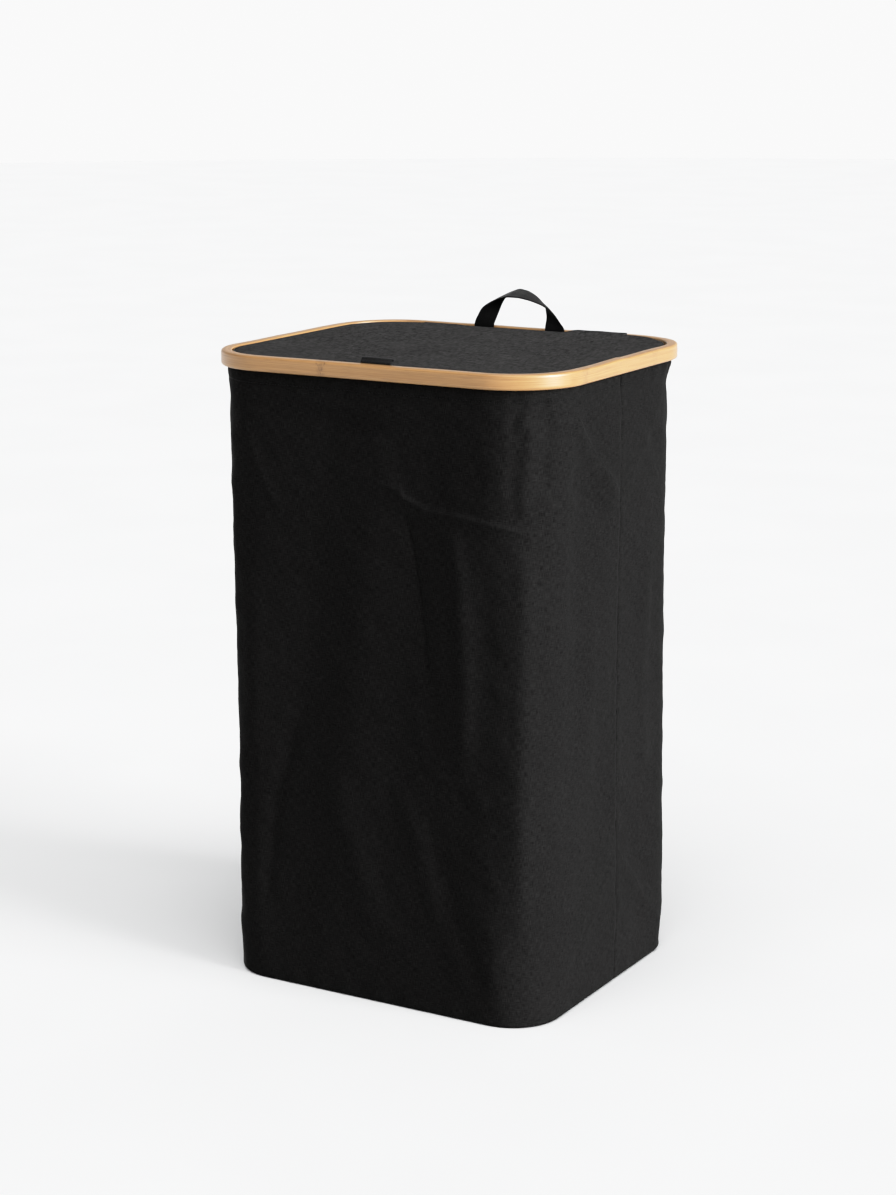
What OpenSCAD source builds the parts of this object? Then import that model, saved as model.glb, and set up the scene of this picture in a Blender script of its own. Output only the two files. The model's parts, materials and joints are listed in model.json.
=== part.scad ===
// Laundry hamper with a bamboo hoop, a fabric body on four corner rods and a hinged fabric lid.
// Millimetres. +Z is up, the front is towards -Y, and the origin is the centre of the base, on the floor.

/* [Bamboo hoop] */
// Outside width of the bamboo hoop
hoop_w = 400; // [360:1:440]
// Outside depth of the bamboo hoop
hoop_d = 334; // [300:1:370]
// Outside corner radius of the bamboo hoop
hoop_r = 72.5; // [60:0.5:90]
// Height of the bamboo strip
hoop_h = 15; // [12:0.5:20]
// Thickness of the bamboo strip
hoop_t = 11; // [9:0.5:14]
// Height of the hoop's top edge above the floor
top_z = 650; // [500:1:700]
// Depth of the rebate that takes the hem of the body
rebate_t = 3; // [2:0.5:4]

/* [Fabric body] */
// Width of the body at the floor
base_w = 370; // [340:1:380]
// Depth of the body at the floor
base_d = 320; // [290:1:330]
// Corner radius of the body at the floor
base_r = 52; // [45:1:60]
// How far the body is waisted at half height, per side
waist = 1.2; // [0:0.1:3]
// Thickness of the body fabric with its lining
cloth_t = 1.2; // [0.8:0.1:2]
// Lean of the side seams: how much further back they are at the floor than at the hoop
seam_lean = 14; // [0:1:20]

/* [Inner hoop] */
// Radial thickness of the inner hoop that clamps the hem and carries the lid
ledge_t = 9; // [8:0.5:10]
// Height of the inner hoop
ledge_h = 8; // [7:0.5:9]

/* [Corner rods] */
// Distance of the rods from the middle plane, left and right
rod_x = 164.5; // [160:0.5:166]
// Distance of the rods from the middle plane, front and back
rod_y = 135.5; // [130:0.5:137]
// Outside diameter of a rod
rod_od = 8; // [7:0.5:9]
// Inside diameter of a rod
rod_id = 6; // [5:0.5:6.5]

/* [Lid] */
// Thickness of the whole lid
lid_t = 6; // [5:0.5:7]
// Gap between the lid and the bamboo hoop at the front and sides
lid_gap = 2; // [1.5:0.1:3]
// Gap between the lid and the bamboo hoop at the back, which the hinge and handle pass through
back_gap = 3.8; // [3.8:0.1:5]
// How far the lid's top is below the top of the bamboo hoop
lid_drop = 1; // [0.5:0.1:2]

/* [Handle and pull tab] */
// Thickness of the handle's webbing
strap_t = 1.3; // [1:0.1:1.4]
// Width of the pull tab
tab_w = 34; // [25:1:45]
// Length of the pull tab above its root
tab_l = 7; // [6:0.5:14]
// Lean of the pull tab towards the back, from upright
tab_lean = 48; // [30:1:60]
// Middle of the pull tab, right of the lid's middle
tab_x = 7.5; // [-20:0.5:20]

/* [Hidden] */
CORNERS = ["front_right", "back_right", "back_left", "front_left"];
CORNER_SIGNS = [[1, -1], [1, 1], [-1, 1], [-1, -1]];
function per_corner(name) = [for (c = CORNERS) str(name, "_", c)];

$fn = 96;
eps = 0.01;

// Heights of the hoop, the inner hoop and the lid
hoop_z = top_z - hoop_h;
ledge_z = hoop_z + ledge_h;
lid_top = top_z - lid_drop;
lid_z = lid_top - lid_t;

// Outline of the hem in the rebate, which is also the body's outline at the top
hem_w = hoop_w - 2 * (hoop_t - rebate_t);
hem_d = hoop_d - 2 * (hoop_t - rebate_t);
hem_r = hoop_r - (hoop_t - rebate_t);
inner_w = hoop_w - 2 * hoop_t;
inner_d = hoop_d - 2 * hoop_t;

// Slot at the back of the inner hoop for the hinge flap and the handle's ends
flap_w = 250;
flap_t = 1;
flap_y = inner_d / 2 - back_gap + 0.3;
strap_y = flap_y + flap_t + strap_t / 2;
slot_clear = 0.1;

// Lid outline: the gap is wider at the back
lid_w = inner_w - 2 * lid_gap;
lid_d = inner_d - lid_gap - back_gap;
lid_r = hoop_r - hoop_t - lid_gap;
lid_cy = (lid_gap - back_gap) / 2;
binding_t = 0.9;

// Gap between the inner hoop and the hem, because the hem's corners are faceted
hem_clear = 0.2;

// Screws that hold the inner hoop: positions along the front, the back and the sides
screw_r = 1.5;
screw_l = 14;
screw_head_r = 2.8;
hole_clear = 0.05;
screw_z = hoop_z + ledge_h / 2;
front_screws = [-120, -40, 40, 120];
back_screws = [-120, -48, 36.5, 120];
side_screws = [-60, 60];

// Floor build-up
roll_in = 2;
board_z = cloth_t + 0.1;
board_t = 3.5;
board_w = base_w - 2 * roll_in - 4;
board_d = base_d - 2 * roll_in - 4;
board_r = base_r - 3.5;

// Rods, their sockets and their sleeves
socket_r = 5.5;
socket_depth = 12;
socket_wall = 2;
rod_z0 = board_z + board_t + socket_wall;
rod_z1 = hoop_z - socket_wall;
rod_mid = (rod_z0 + rod_z1) / 2;
ferrule_l = 60;
sleeve_clear = 0.4;
sleeve_t = 1;
socket_pin_r = 2;
socket_pin_l = 4;

// Handle: its hinge line, and the two edges of the webbing from the left root over to the right root.
// Each row is [near edge, far edge] as [x, back from the hinge line, up from the hinge line].
// The near edge of the crown is the outer edge of both legs.
fold_z = top_z + 1.5;
left_root = [-60.5, -36.5];
right_root = [25, 48];
HANDLE_EDGES = [
    [[left_root[0], 0, 0], [left_root[1], 0, 0]],
    [[-57.5, 1, 8.5], [-34.5, 4.5, 10.5]],
    [[-51, 2, 18.5], [-32.5, 14, 24.5]],
    [[-38, 3, 25.5], [-29, 24, 32.5]],
    [[-24, 3, 29.5], [-21, 26.5, 36]],
    [[-10, 3, 29.5], [-13, 26.5, 35.5]],
    [[5, 3, 27.5], [-3, 25, 32.5]],
    [[20, 3, 23], [8, 21.5, 26]],
    [[33, 2.5, 15.5], [16, 17.5, 19.5]],
    [[42, 1, 7], [22.5, 8, 10]],
    [[right_root[1], 0, 0], [right_root[0], 0, 0]]
];
HANDLE_STEPS = 4;

// Pull tab: its hinge line is just above the lid's front edge
tab_t = 1.4;
tab_y = -inner_d / 2 + 1.2;
tab_z = top_z;

// ---- Shared shapes ----

module rounded_rect(w, d, r) {
    square([w - 2 * r, d], center = true);
    square([w, d - 2 * r], center = true);
    for (s = CORNER_SIGNS)
        translate([s[0] * (w / 2 - r), s[1] * (d / 2 - r)])
            circle(r);
}

module plate(w, d, r, z, h) {
    translate([0, 0, z])
        linear_extrude(h)
            rounded_rect(w, d, r);
}

module ring(w, d, r, t, z, h) {
    difference() {
        plate(w, d, r, z, h);
        plate(w - 2 * t, d - 2 * t, r - t, z - 1, h + 2);
    }
}

// One copy at each screw, with +Z along the screw from its head on the inner hoop's inside
module at_screws() {
    head_x = hem_w / 2 - cloth_t - ledge_t;
    head_y = hem_d / 2 - cloth_t - ledge_t;
    for (x = front_screws)
        translate([x, -head_y, screw_z]) rotate([90, 0, 0]) children();
    for (x = back_screws)
        translate([x, head_y, screw_z]) rotate([-90, 0, 0]) children();
    for (s = [-1, 1], y = side_screws)
        translate([s * head_x, y, screw_z]) rotate([0, s * 90, 0]) children();
}

module screw_holes(r) {
    at_screws()
        translate([0, 0, -1])
            cylinder(r = r, h = screw_l + 1.5);
}

module at_corner(i) {
    translate([CORNER_SIGNS[i][0] * rod_x, CORNER_SIGNS[i][1] * rod_y, 0])
        children();
}

// ---- Body surface ----

// Fraction of the way up the body, and the body's half sizes and corner radius at a height
function up(z) = min(z / hoop_z, 1);
function waist_in(z) = waist * sin(180 * up(z));
function roll(z) = z < 3 ? roll_in * (1 - sqrt(z / 3)) : 0;
function mix(a, b, f) = a + (b - a) * f;
function half_w(z) = mix(base_w, hem_w, up(z)) / 2 - waist_in(z) - roll(z);
function half_d(z) = mix(base_d, hem_d, up(z)) / 2 - waist_in(z) - roll(z);
function corner_r(z) = mix(base_r, hem_r, up(z)) - roll(z);
function seam_y(z) = seam_lean * (1 - up(z));

LEVELS = concat([0, 1, 3], [for (k = [1:9]) hoop_z * k / 10], [hoop_z, ledge_z]);
ARC_STEPS = 12;

function arc_points(i, hw, hd, r) = [
    for (k = [0:ARC_STEPS])
        let (a = 90 * (i - 1) + 90 * k / ARC_STEPS)
            [CORNER_SIGNS[i][0] * (hw - r) + r * cos(a), CORNER_SIGNS[i][1] * (hd - r) + r * sin(a)]
];

// A U-shaped line round the back half (corners 1 and 2) or the front half (corners 3 and 0)
function half_line(first, z, inset) =
    let (
        hw = half_w(z) - inset,
        hd = half_d(z) - inset,
        r = corner_r(z) - inset,
        side = first == 1 ? 1 : -1,
        seam = seam_y(z) + side * 0.05
    )
    concat(
        [[side * hw, seam]],
        arc_points(first, hw, hd, r),
        arc_points((first + 1) % 4, hw, hd, r),
        [[-side * hw, seam]]
    );

function at_height(points, z) = [for (p = points) [p[0], p[1], z]];

// Closed skin between an outer and an inner sheet, each a grid of rows by cols points
function skin_faces(rows, cols) =
    let (n = rows * cols)
    concat(
        [for (i = [0:rows - 2], j = [0:cols - 2])
            [i * cols + j, i * cols + j + 1, (i + 1) * cols + j + 1, (i + 1) * cols + j]],
        [for (i = [0:rows - 2], j = [0:cols - 2])
            [n + i * cols + j, n + (i + 1) * cols + j, n + (i + 1) * cols + j + 1, n + i * cols + j + 1]],
        [for (j = [0:cols - 2])
            [j, n + j, n + j + 1, j + 1]],
        [for (j = [0:cols - 2], b = [(rows - 1) * cols])
            [b + j, b + j + 1, n + b + j + 1, n + b + j]],
        [for (i = [0:rows - 2])
            [i * cols, (i + 1) * cols, n + (i + 1) * cols, n + i * cols]],
        [for (i = [0:rows - 2], e = [cols - 1])
            [i * cols + e, n + i * cols + e, n + (i + 1) * cols + e, (i + 1) * cols + e]]
    );

module body_half(first) {
    lines = [for (inset = [0, cloth_t], z = LEVELS) at_height(half_line(first, z, inset), z)];
    cols = len(lines[0]);
    difference() {
        polyhedron(
            points = [for (line = lines) each line],
            faces = [for (f = skin_faces(len(LEVELS), cols)) [for (k = [3:-1:0]) f[k]]],
            convexity = 8
        );
        screw_holes(screw_r + hole_clear);
    }
}

// Tape that binds the seam allowance on the inside of a side seam
module seam_tape(side) {
    tape_w = 10;
    tape_t = 0.8;
    levels = [for (k = [0:10]) mix(15, hoop_z - 2, k / 10)];
    rows = [
        for (inset = [cloth_t, cloth_t + tape_t], z = levels)
            [for (e = [-1, 1]) [side * (half_w(z) - inset), seam_y(z) + side * e * tape_w / 2, z]]
    ];
    polyhedron(
        points = [for (row = rows) each row],
        faces = [for (f = skin_faces(len(levels), 2)) [for (k = [3:-1:0]) f[k]]],
        convexity = 4
    );
}

// ---- Hoops and screws ----

module bamboo_hoop() {
    color("burlywood")
        difference() {
            ring(hoop_w, hoop_d, hoop_r, hoop_t, hoop_z, hoop_h);
            plate(hem_w, hem_d, hem_r, hoop_z - 1, ledge_h + 1);
            screw_holes(screw_r + hole_clear);
        }
}

module inner_hoop() {
    inset = cloth_t + hem_clear;
    w = hem_w - 2 * inset;
    d = hem_d - 2 * inset;
    slot_t = flap_t + strap_t + 2 * slot_clear;
    color("#1c1c1c")
        difference() {
            ring(w, d, hem_r - inset, ledge_t - hem_clear, hoop_z, ledge_h);
            translate([-flap_w / 2 - slot_clear, flap_y - slot_clear, hoop_z - 1])
                cube([flap_w + 2 * slot_clear, slot_t, ledge_h + 2]);
            screw_holes(screw_r + hole_clear);
            at_screws()
                translate([0, 0, -eps])
                    cylinder(r1 = screw_head_r + hole_clear, r2 = screw_r + hole_clear, h = 1.7);
            for (i = [0:3])
                at_corner(i)
                    translate([0, 0, hoop_z - 1])
                        cylinder(r = socket_pin_r + hole_clear, h = socket_pin_l + 1.5);
        }
}

// Countersunk screw with a cross recess
module hoop_screws() {
    recess = [3.2, 0.7, 2];
    color("silver")
        at_screws()
            difference() {
                union() {
                    cylinder(r1 = screw_head_r, r2 = screw_r, h = 1.6);
                    translate([0, 0, 1])
                        cylinder(r = screw_r, h = screw_l - 1);
                }
                for (turn = [0, 90])
                    rotate(turn)
                        cube(recess, center = true);
            }
}

// ---- Fabric body ----

module front_panel() {
    color("#1a1a1a")
        body_half(3);
}

module back_panel() {
    color("#1a1a1a")
        body_half(1);
}

module seam_tape_left() {
    color("#121212")
        seam_tape(-1);
}

module seam_tape_right() {
    color("#121212")
        seam_tape(1);
}

module bottom_panel() {
    inset = 2 * (roll_in + cloth_t + 0.1);
    color("#1a1a1a")
        plate(base_w - inset, base_d - inset, base_r - inset / 2, 0, cloth_t);
}

module bottom_binding() {
    color("#121212")
        ring(board_w + 2.4, board_d + 2.4, board_r + 1.2, 1.1, board_z, board_t);
}

module base_board() {
    color("saddlebrown")
        plate(board_w, board_d, board_r, board_z, board_t);
}

// ---- Corner rods ----

module rod_tube(z0, z1) {
    translate([0, 0, z0])
        difference() {
            cylinder(d = rod_od, h = z1 - z0);
            translate([0, 0, -1])
                cylinder(d = rod_id, h = z1 - z0 + 2);
        }
}

module lower_rod(i) {
    color("gainsboro")
        at_corner(i)
            rod_tube(rod_z0, rod_mid);
}

module upper_rod(i) {
    color("gainsboro")
        at_corner(i)
            rod_tube(rod_mid, rod_z1);
}

module rod_ferrule(i) {
    color("dimgray")
        at_corner(i)
            translate([0, 0, rod_mid - ferrule_l / 2])
                cylinder(d = rod_id - 2 * hole_clear, h = ferrule_l);
}

module socket_cup() {
    difference() {
        cylinder(r = socket_r, h = socket_wall + socket_depth);
        translate([0, 0, socket_wall])
            cylinder(d = rod_od + 2 * hole_clear, h = socket_depth + 1);
    }
}

module top_socket(i) {
    color("#262626")
        at_corner(i) {
            translate([0, 0, hoop_z])
                mirror([0, 0, 1])
                    socket_cup();
            translate([0, 0, hoop_z - 1])
                cylinder(r = socket_pin_r, h = socket_pin_l + 1);
        }
}

module bottom_socket(i) {
    color("#262626")
        at_corner(i)
            translate([0, 0, board_z + board_t])
                socket_cup();
}

module rod_sleeve(i) {
    r_in = rod_od / 2 + sleeve_clear;
    z0 = rod_z0 + socket_depth + 8;
    z1 = rod_z1 - socket_depth - 8;
    fin_l = 1.1;
    s = CORNER_SIGNS[i];
    color("#161616")
        at_corner(i)
            translate([0, 0, z0])
                difference() {
                    union() {
                        cylinder(r = r_in + sleeve_t, h = z1 - z0);
                        rotate(atan2(s[1], s[0]))
                            translate([r_in, -sleeve_t / 2, 0])
                                cube([sleeve_t + fin_l, sleeve_t, z1 - z0]);
                    }
                    translate([0, 0, -1])
                        cylinder(r = r_in, h = z1 - z0 + 2);
                }
}

// ---- Hinge flap and handle ----

module hinge_flap() {
    lip = 0.8;
    color("#333333")
        difference() {
            union() {
                translate([-flap_w / 2, flap_y, hoop_z + 0.5])
                    cube([flap_w, flap_t, lid_top - hoop_z - 0.5]);
                translate([-flap_w / 2, flap_y - 0.2, lid_top - lip])
                    cube([flap_w, flap_t + 0.2, lip]);
            }
            screw_holes(screw_r + hole_clear);
        }
}

// Fixed ends of the webbing: they pass down the slot and are folded over below the inner hoop
module handle_ends() {
    fold_h = 8;
    fold_t = 3.6;
    end_z = hoop_z - 0.5;
    color("#161616")
        difference() {
            for (root = [left_root, right_root])
                translate([root[0], strap_y, 0]) {
                    translate([0, -strap_t / 2, end_z - fold_h])
                        cube([root[1] - root[0], strap_t, fold_z - 1 - end_z + fold_h]);
                    translate([0, -fold_t / 2, end_z - fold_h])
                        cube([root[1] - root[0], fold_t, fold_h]);
                }
            screw_holes(screw_r + hole_clear);
        }
}

// Catmull-Rom blend of the rows of HANDLE_EDGES, for one edge (0 near, 1 far)
function edge_row(i, e) =
    HANDLE_EDGES[max(0, min(len(HANDLE_EDGES) - 1, i))][e] + [0, strap_y, fold_z];
function edge_point(i, f, e) =
    let (
        a = edge_row(i - 1, e),
        b = edge_row(i, e),
        c = edge_row(i + 1, e),
        d = edge_row(i + 2, e)
    )
    0.5 * (2 * b + (c - a) * f + (2 * a - 5 * b + 4 * c - d) * f * f + (3 * b - a - 3 * c + d) * f * f * f);

STRAP_PARAMS = [
    for (i = [0:len(HANDLE_EDGES) - 2], k = [0:HANDLE_STEPS - 1]) [i, k / HANDLE_STEPS],
    [len(HANDLE_EDGES) - 2, 1]
];
function unit(v) = v / norm(v);
function strap_normal(p) =
    let (
        run = edge_point(p[0], min(p[1] + 0.1, 1), 0) - edge_point(p[0], max(p[1] - 0.1, 0), 0)
            + edge_point(p[0], min(p[1] + 0.1, 1), 1) - edge_point(p[0], max(p[1] - 0.1, 0), 1),
        across = edge_point(p[0], p[1], 1) - edge_point(p[0], p[1], 0)
    )
    unit(cross(run, across));

module handle_strap() {
    points = [
        for (side = [1, -1], p = STRAP_PARAMS, e = [0, 1])
            edge_point(p[0], p[1], e) + side * strap_t / 2 * strap_normal(p)
    ];
    color("#161616") {
        polyhedron(points = points, faces = skin_faces(len(STRAP_PARAMS), 2), convexity = 8);
        for (root = [left_root, right_root])
            translate([root[0], strap_y, fold_z])
                rotate([0, 90, 0])
                    cylinder(d = strap_t, h = root[1] - root[0]);
    }
}

// ---- Lid ----

module lid_plate(inset, z, h) {
    translate([0, lid_cy, 0])
        plate(lid_w - 2 * inset, lid_d - 2 * inset, lid_r - inset, z, h);
}

module lid_board() {
    color("tan")
        lid_plate(2, lid_z + 1, lid_t - 2);
}

module lid_cover() {
    skirt_t = 0.9;
    color("#3a3b39") {
        lid_plate(binding_t + 0.1, lid_top - 1, 1);
        difference() {
            lid_plate(binding_t + 0.1, lid_z + 1, lid_t - 1.5);
            lid_plate(binding_t + 0.1 + skirt_t, lid_z, lid_t);
        }
    }
}

module lid_lining() {
    color("#1f1f1f")
        lid_plate(binding_t + 0.1, lid_z, 1);
}

module lid_binding() {
    color("#101010")
        difference() {
            lid_plate(0, lid_z + 0.2, lid_t - 0.4);
            lid_plate(binding_t, lid_z - 1, lid_t + 2);
        }
}

// ---- Pull tab ----

// Ends of the ribbon loop, sewn to the front edge of the lid
module tab_root() {
    color("#101010")
        translate([tab_x - tab_w / 2, tab_y - tab_t / 2, lid_z + 0.5])
            cube([tab_w, tab_t, tab_z - 1 - lid_z - 0.5]);
}

// Folded ribbon: two leaves that open into a small eye at the free end
module pull_tab() {
    eye_r = 1.5;
    wall = 0.7;
    color("#161616")
        translate([tab_x - tab_w / 2, tab_y, tab_z])
            rotate([-tab_lean, 0, 0])
                rotate([90, 0, 90])
                    linear_extrude(tab_w)
                        difference() {
                            union() {
                                circle(d = tab_t);
                                translate([-tab_t / 2, 0])
                                    square([tab_t, tab_l - eye_r]);
                                translate([0, tab_l - eye_r])
                                    circle(eye_r);
                            }
                            translate([0, tab_l - eye_r])
                                circle(eye_r - wall);
                        }
}

bamboo_hoop();
inner_hoop();
hoop_screws();
front_panel();
back_panel();
seam_tape_left();
seam_tape_right();
bottom_panel();
bottom_binding();
base_board();
for (i = [0:3]) {
    lower_rod(i);
    upper_rod(i);
    rod_ferrule(i);
    top_socket(i);
    bottom_socket(i);
    rod_sleeve(i);
}
hinge_flap();
handle_ends();
handle_strap();
lid_board();
lid_cover();
lid_lining();
lid_binding();
tab_root();
pull_tab();
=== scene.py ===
import json
import math

import bpy
import numpy as np
from mathutils import Matrix, Vector

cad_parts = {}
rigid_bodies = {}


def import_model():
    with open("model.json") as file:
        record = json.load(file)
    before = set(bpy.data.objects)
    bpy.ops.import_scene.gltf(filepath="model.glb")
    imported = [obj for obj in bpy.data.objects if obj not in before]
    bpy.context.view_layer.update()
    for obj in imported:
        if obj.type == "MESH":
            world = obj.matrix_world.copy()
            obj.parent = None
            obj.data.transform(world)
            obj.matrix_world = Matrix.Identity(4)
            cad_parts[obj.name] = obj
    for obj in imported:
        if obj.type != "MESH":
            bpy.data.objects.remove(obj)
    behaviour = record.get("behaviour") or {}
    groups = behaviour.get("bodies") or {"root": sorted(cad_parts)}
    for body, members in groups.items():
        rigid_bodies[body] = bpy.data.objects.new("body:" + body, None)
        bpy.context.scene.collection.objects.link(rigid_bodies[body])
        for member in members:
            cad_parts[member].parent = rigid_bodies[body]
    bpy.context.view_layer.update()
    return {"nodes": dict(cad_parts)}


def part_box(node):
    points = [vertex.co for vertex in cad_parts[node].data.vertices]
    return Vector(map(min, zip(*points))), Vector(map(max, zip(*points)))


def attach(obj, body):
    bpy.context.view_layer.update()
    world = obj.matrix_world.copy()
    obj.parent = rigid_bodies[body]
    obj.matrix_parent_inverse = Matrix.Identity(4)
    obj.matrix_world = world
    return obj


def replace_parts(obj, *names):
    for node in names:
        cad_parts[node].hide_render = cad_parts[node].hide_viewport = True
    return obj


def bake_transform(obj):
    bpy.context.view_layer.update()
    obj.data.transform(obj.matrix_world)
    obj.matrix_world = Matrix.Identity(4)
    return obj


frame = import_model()

# Looks of the laundry hamper. Metres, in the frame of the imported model: +Z up, front towards -Y.
MM = 0.001

# ---- Sizes, from the frame ----

HOOP_LOW, HOOP_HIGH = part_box("bamboo_hoop")
HOOP_W, HOOP_D = HOOP_HIGH[0], HOOP_HIGH[1]
HOOP_Z, TOP_Z = HOOP_LOW[2], HOOP_HIGH[2]
HOOP_R = 72.5 * MM
HOOP_T = 11 * MM
REBATE_T = 3 * MM
LEDGE_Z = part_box("inner_hoop")[1][2]

BODY_LOW, BODY_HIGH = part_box("front_panel")
HEM_W = BODY_HIGH[0]
HEM_D = -BODY_LOW[1]
HEM_R = HOOP_R - HOOP_T + REBATE_T
BASE_W, BASE_D, BASE_R = 185 * MM, 160 * MM, 52 * MM
WAIST = 1.2 * MM
SEAM_LEAN = 14 * MM
CLOTH_T = 1.1 * MM

LID_LOW, LID_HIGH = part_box("lid_binding")
LID_W = LID_HIGH[0]
LID_D = (LID_HIGH[1] - LID_LOW[1]) / 2
LID_CY = (LID_HIGH[1] + LID_LOW[1]) / 2
LID_R = HOOP_R - HOOP_T - 2 * MM
LID_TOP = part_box("lid_cover")[1][2]
LID_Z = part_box("lid_lining")[0][2]

FLAP_LOW, FLAP_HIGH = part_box("hinge_flap")
FLAP_Y = (FLAP_LOW[1] + FLAP_HIGH[1]) / 2 + 0.1 * MM
ENDS_LOW, ENDS_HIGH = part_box("handle_ends")
STRAP_Y = (ENDS_LOW[1] + ENDS_HIGH[1]) / 2
FOLD_Z = TOP_Z + 1.5 * MM
TAB_LOW, TAB_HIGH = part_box("tab_root")
TAB_Y = (TAB_LOW[1] + TAB_HIGH[1]) / 2
TAB_Z = TOP_Z

# ---- Camera, floor and light ----

CAMERA_AT = Vector((1.323, -2.258, 0.992))
CAMERA_AZIMUTH, CAMERA_ELEVATION, CAMERA_ROLL = 30.45, 12.99, -0.248
CAMERA_LENS = 78.4
# Azimuth, elevation and width in degrees, strength and colour. Azimuth 0 is the front and 90 the right.
LIGHTS = {
    "key": (87, 33, 16, 1.6, (0.95, 0.98, 1.05)),
    "side": (88, 11, 26, 3.8, (1, 1, 1)),
    "top": (25, 66, 50, 1.5, (1, 1, 1)),
    "back": (225, 14, 50, 2.2, (1, 1, 1)),
}
# The room's brightness falls from the horizon up, between two heights of direction
ROOM = {"From Min": 0.05, "From Max": 0.32, "To Min": 0.86, "To Max": 0.26}
FLOOR_RADIUS, FLOOR_CORNERS = 14, 64
# Tones of the print: light in the scene, and the light shown for it
TONES = [(0.012, 0.0072), (0.03, 0.027), (0.09, 0.10), (0.28, 0.37), (0.45, 0.62), (0.62, 0.80), (0.8, 0.92)]


def towards(azimuth, elevation):
    """Direction from the hamper to a camera or light, from its angles in degrees."""
    az, el = math.radians(azimuth), math.radians(elevation)
    return Vector((math.sin(az) * math.cos(el), -math.cos(az) * math.cos(el), math.sin(el)))


def add_camera():
    back = towards(CAMERA_AZIMUTH, CAMERA_ELEVATION)
    data = bpy.data.cameras.new("camera")
    data.lens = CAMERA_LENS
    camera = bpy.data.objects.new("camera", data)
    turn = back.to_track_quat("Z", "Y") @ Matrix.Rotation(math.radians(CAMERA_ROLL), 4, "Z").to_quaternion()
    camera.matrix_world = Matrix.Translation(CAMERA_AT) @ turn.to_matrix().to_4x4()
    bpy.context.collection.objects.link(camera)
    bpy.context.scene.camera = camera


def sun_light(name, azimuth, elevation, width, strength, colour):
    """Distant soft light."""
    data = bpy.data.lights.new(name, "SUN")
    data.angle = math.radians(width)
    data.energy = strength
    data.color = colour
    light = bpy.data.objects.new(name, data)
    light.matrix_world = towards(azimuth, elevation).to_track_quat("Z", "Y").to_matrix().to_4x4()
    bpy.context.collection.objects.link(light)


def add_studio():
    """Soft light from the right, above and behind, and a pale room that is brightest at the horizon.
    Two of the lights are flagged off some pieces: see keep_off."""
    for name, numbers in LIGHTS.items():
        sun_light(name, *numbers)
    world = bpy.data.worlds.new("studio")
    world.use_nodes = True
    tree = world.node_tree
    place = tree.nodes.new("ShaderNodeTexCoord")
    split = tree.nodes.new("ShaderNodeSeparateXYZ")
    ramp = tree.nodes.new("ShaderNodeMapRange")
    ramp.interpolation_type = "SMOOTHSTEP"
    for key, value in ROOM.items():
        ramp.inputs[key].default_value = value
    tree.links.new(place.outputs["Generated"], split.inputs[0])
    tree.links.new(split.outputs["Z"], ramp.inputs["Value"])
    tree.links.new(ramp.outputs[0], tree.nodes["Background"].inputs["Strength"])
    tree.nodes["Background"].inputs["Color"].default_value = (1.0, 1.0, 1.0, 1)
    bpy.context.scene.world = world


def keep_off(light, pieces):
    """Keep a light off the named pieces, as a flag beside it would."""
    lit = bpy.data.collections.new("lit_by_" + light)
    for piece in bpy.context.scene.objects:
        if piece.type == "MESH" and piece.name not in pieces:
            lit.objects.link(piece)
    bpy.data.objects[light].light_linking.receiver_collection = lit


def print_contrast():
    """The contrast of a studio print: dark tones fall further and light tones lift."""
    settings = bpy.context.scene.view_settings
    settings.view_transform = "Standard"
    settings.use_curve_mapping = True
    curve = settings.curve_mapping.curves[3]  # the one for all three colours
    for scene_light, shown in TONES:
        curve.points.new(scene_light, shown)
    settings.curve_mapping.update()


# ---- Node materials ----


class Shader:
    """A node material around one Principled shader.
    An input is a number, a colour or another node's socket."""

    def __init__(self, name, constants):
        self.material = bpy.data.materials.new(name)
        self.material.use_nodes = True
        self.tree = self.material.node_tree
        self.bsdf = self.tree.nodes["Principled BSDF"]
        for key, value in constants.items():
            self.bsdf.inputs[key].default_value = value

    def node(self, kind, inputs=None, **settings):
        made = self.tree.nodes.new(kind)
        for key, value in settings.items():
            setattr(made, key, value)
        for key, value in (inputs or {}).items():
            if isinstance(value, bpy.types.NodeSocket):
                self.tree.links.new(value, made.inputs[key])
            else:
                made.inputs[key].default_value = value
        return made

    def math(self, operation, a, b=0.0, c=0.0):
        return self.node("ShaderNodeMath", {0: a, 1: b, 2: c}, operation=operation).outputs[0]

    def times(self, a, b):
        return self.math("MULTIPLY", a, b)

    def noise(self, place, waves, detail=2.0, roughness=0.5):
        """Noise with so many waves in a metre, along each axis or along all three."""
        waves = waves if isinstance(waves, tuple) else (waves,) * 3
        stretched = self.node("ShaderNodeVectorMath", {0: place, 1: waves}, operation="MULTIPLY").outputs[0]
        inputs = {"Vector": stretched, "Scale": 1.0, "Detail": detail, "Roughness": roughness}
        return self.node("ShaderNodeTexNoise", inputs).outputs["Fac"]

    def attribute(self, name):
        return self.node("ShaderNodeAttribute", attribute_name=name).outputs["Vector"]

    def object_place(self):
        return self.node("ShaderNodeTexCoord").outputs["Object"]

    def split(self, vector):
        return self.node("ShaderNodeSeparateXYZ", {0: vector}).outputs

    def span(self, value, low, high, to_low=0.0, to_high=1.0):
        inputs = {"Value": value, "From Min": low, "From Max": high, "To Min": to_low, "To Max": to_high}
        return self.node("ShaderNodeMapRange", inputs, interpolation_type="SMOOTHSTEP").outputs[0]

    def mix(self, share, a, b):
        """Colour between a and b. The numbers are the Mix node's colour sockets."""
        return self.node("ShaderNodeMix", {0: share, 6: a, 7: b}, data_type="RGBA").outputs[2]

    def bump(self, height, distance, strength):
        inputs = {"Height": height, "Distance": distance, "Strength": strength}
        return self.node("ShaderNodeBump", inputs).outputs[0]

    def finish(self, colour=None, roughness=None, normal=None):
        for key, value in (("Base Color", colour), ("Roughness", roughness), ("Normal", normal)):
            if value is not None:
                self.tree.links.new(value, self.bsdf.inputs[key])
        return self.material


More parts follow.
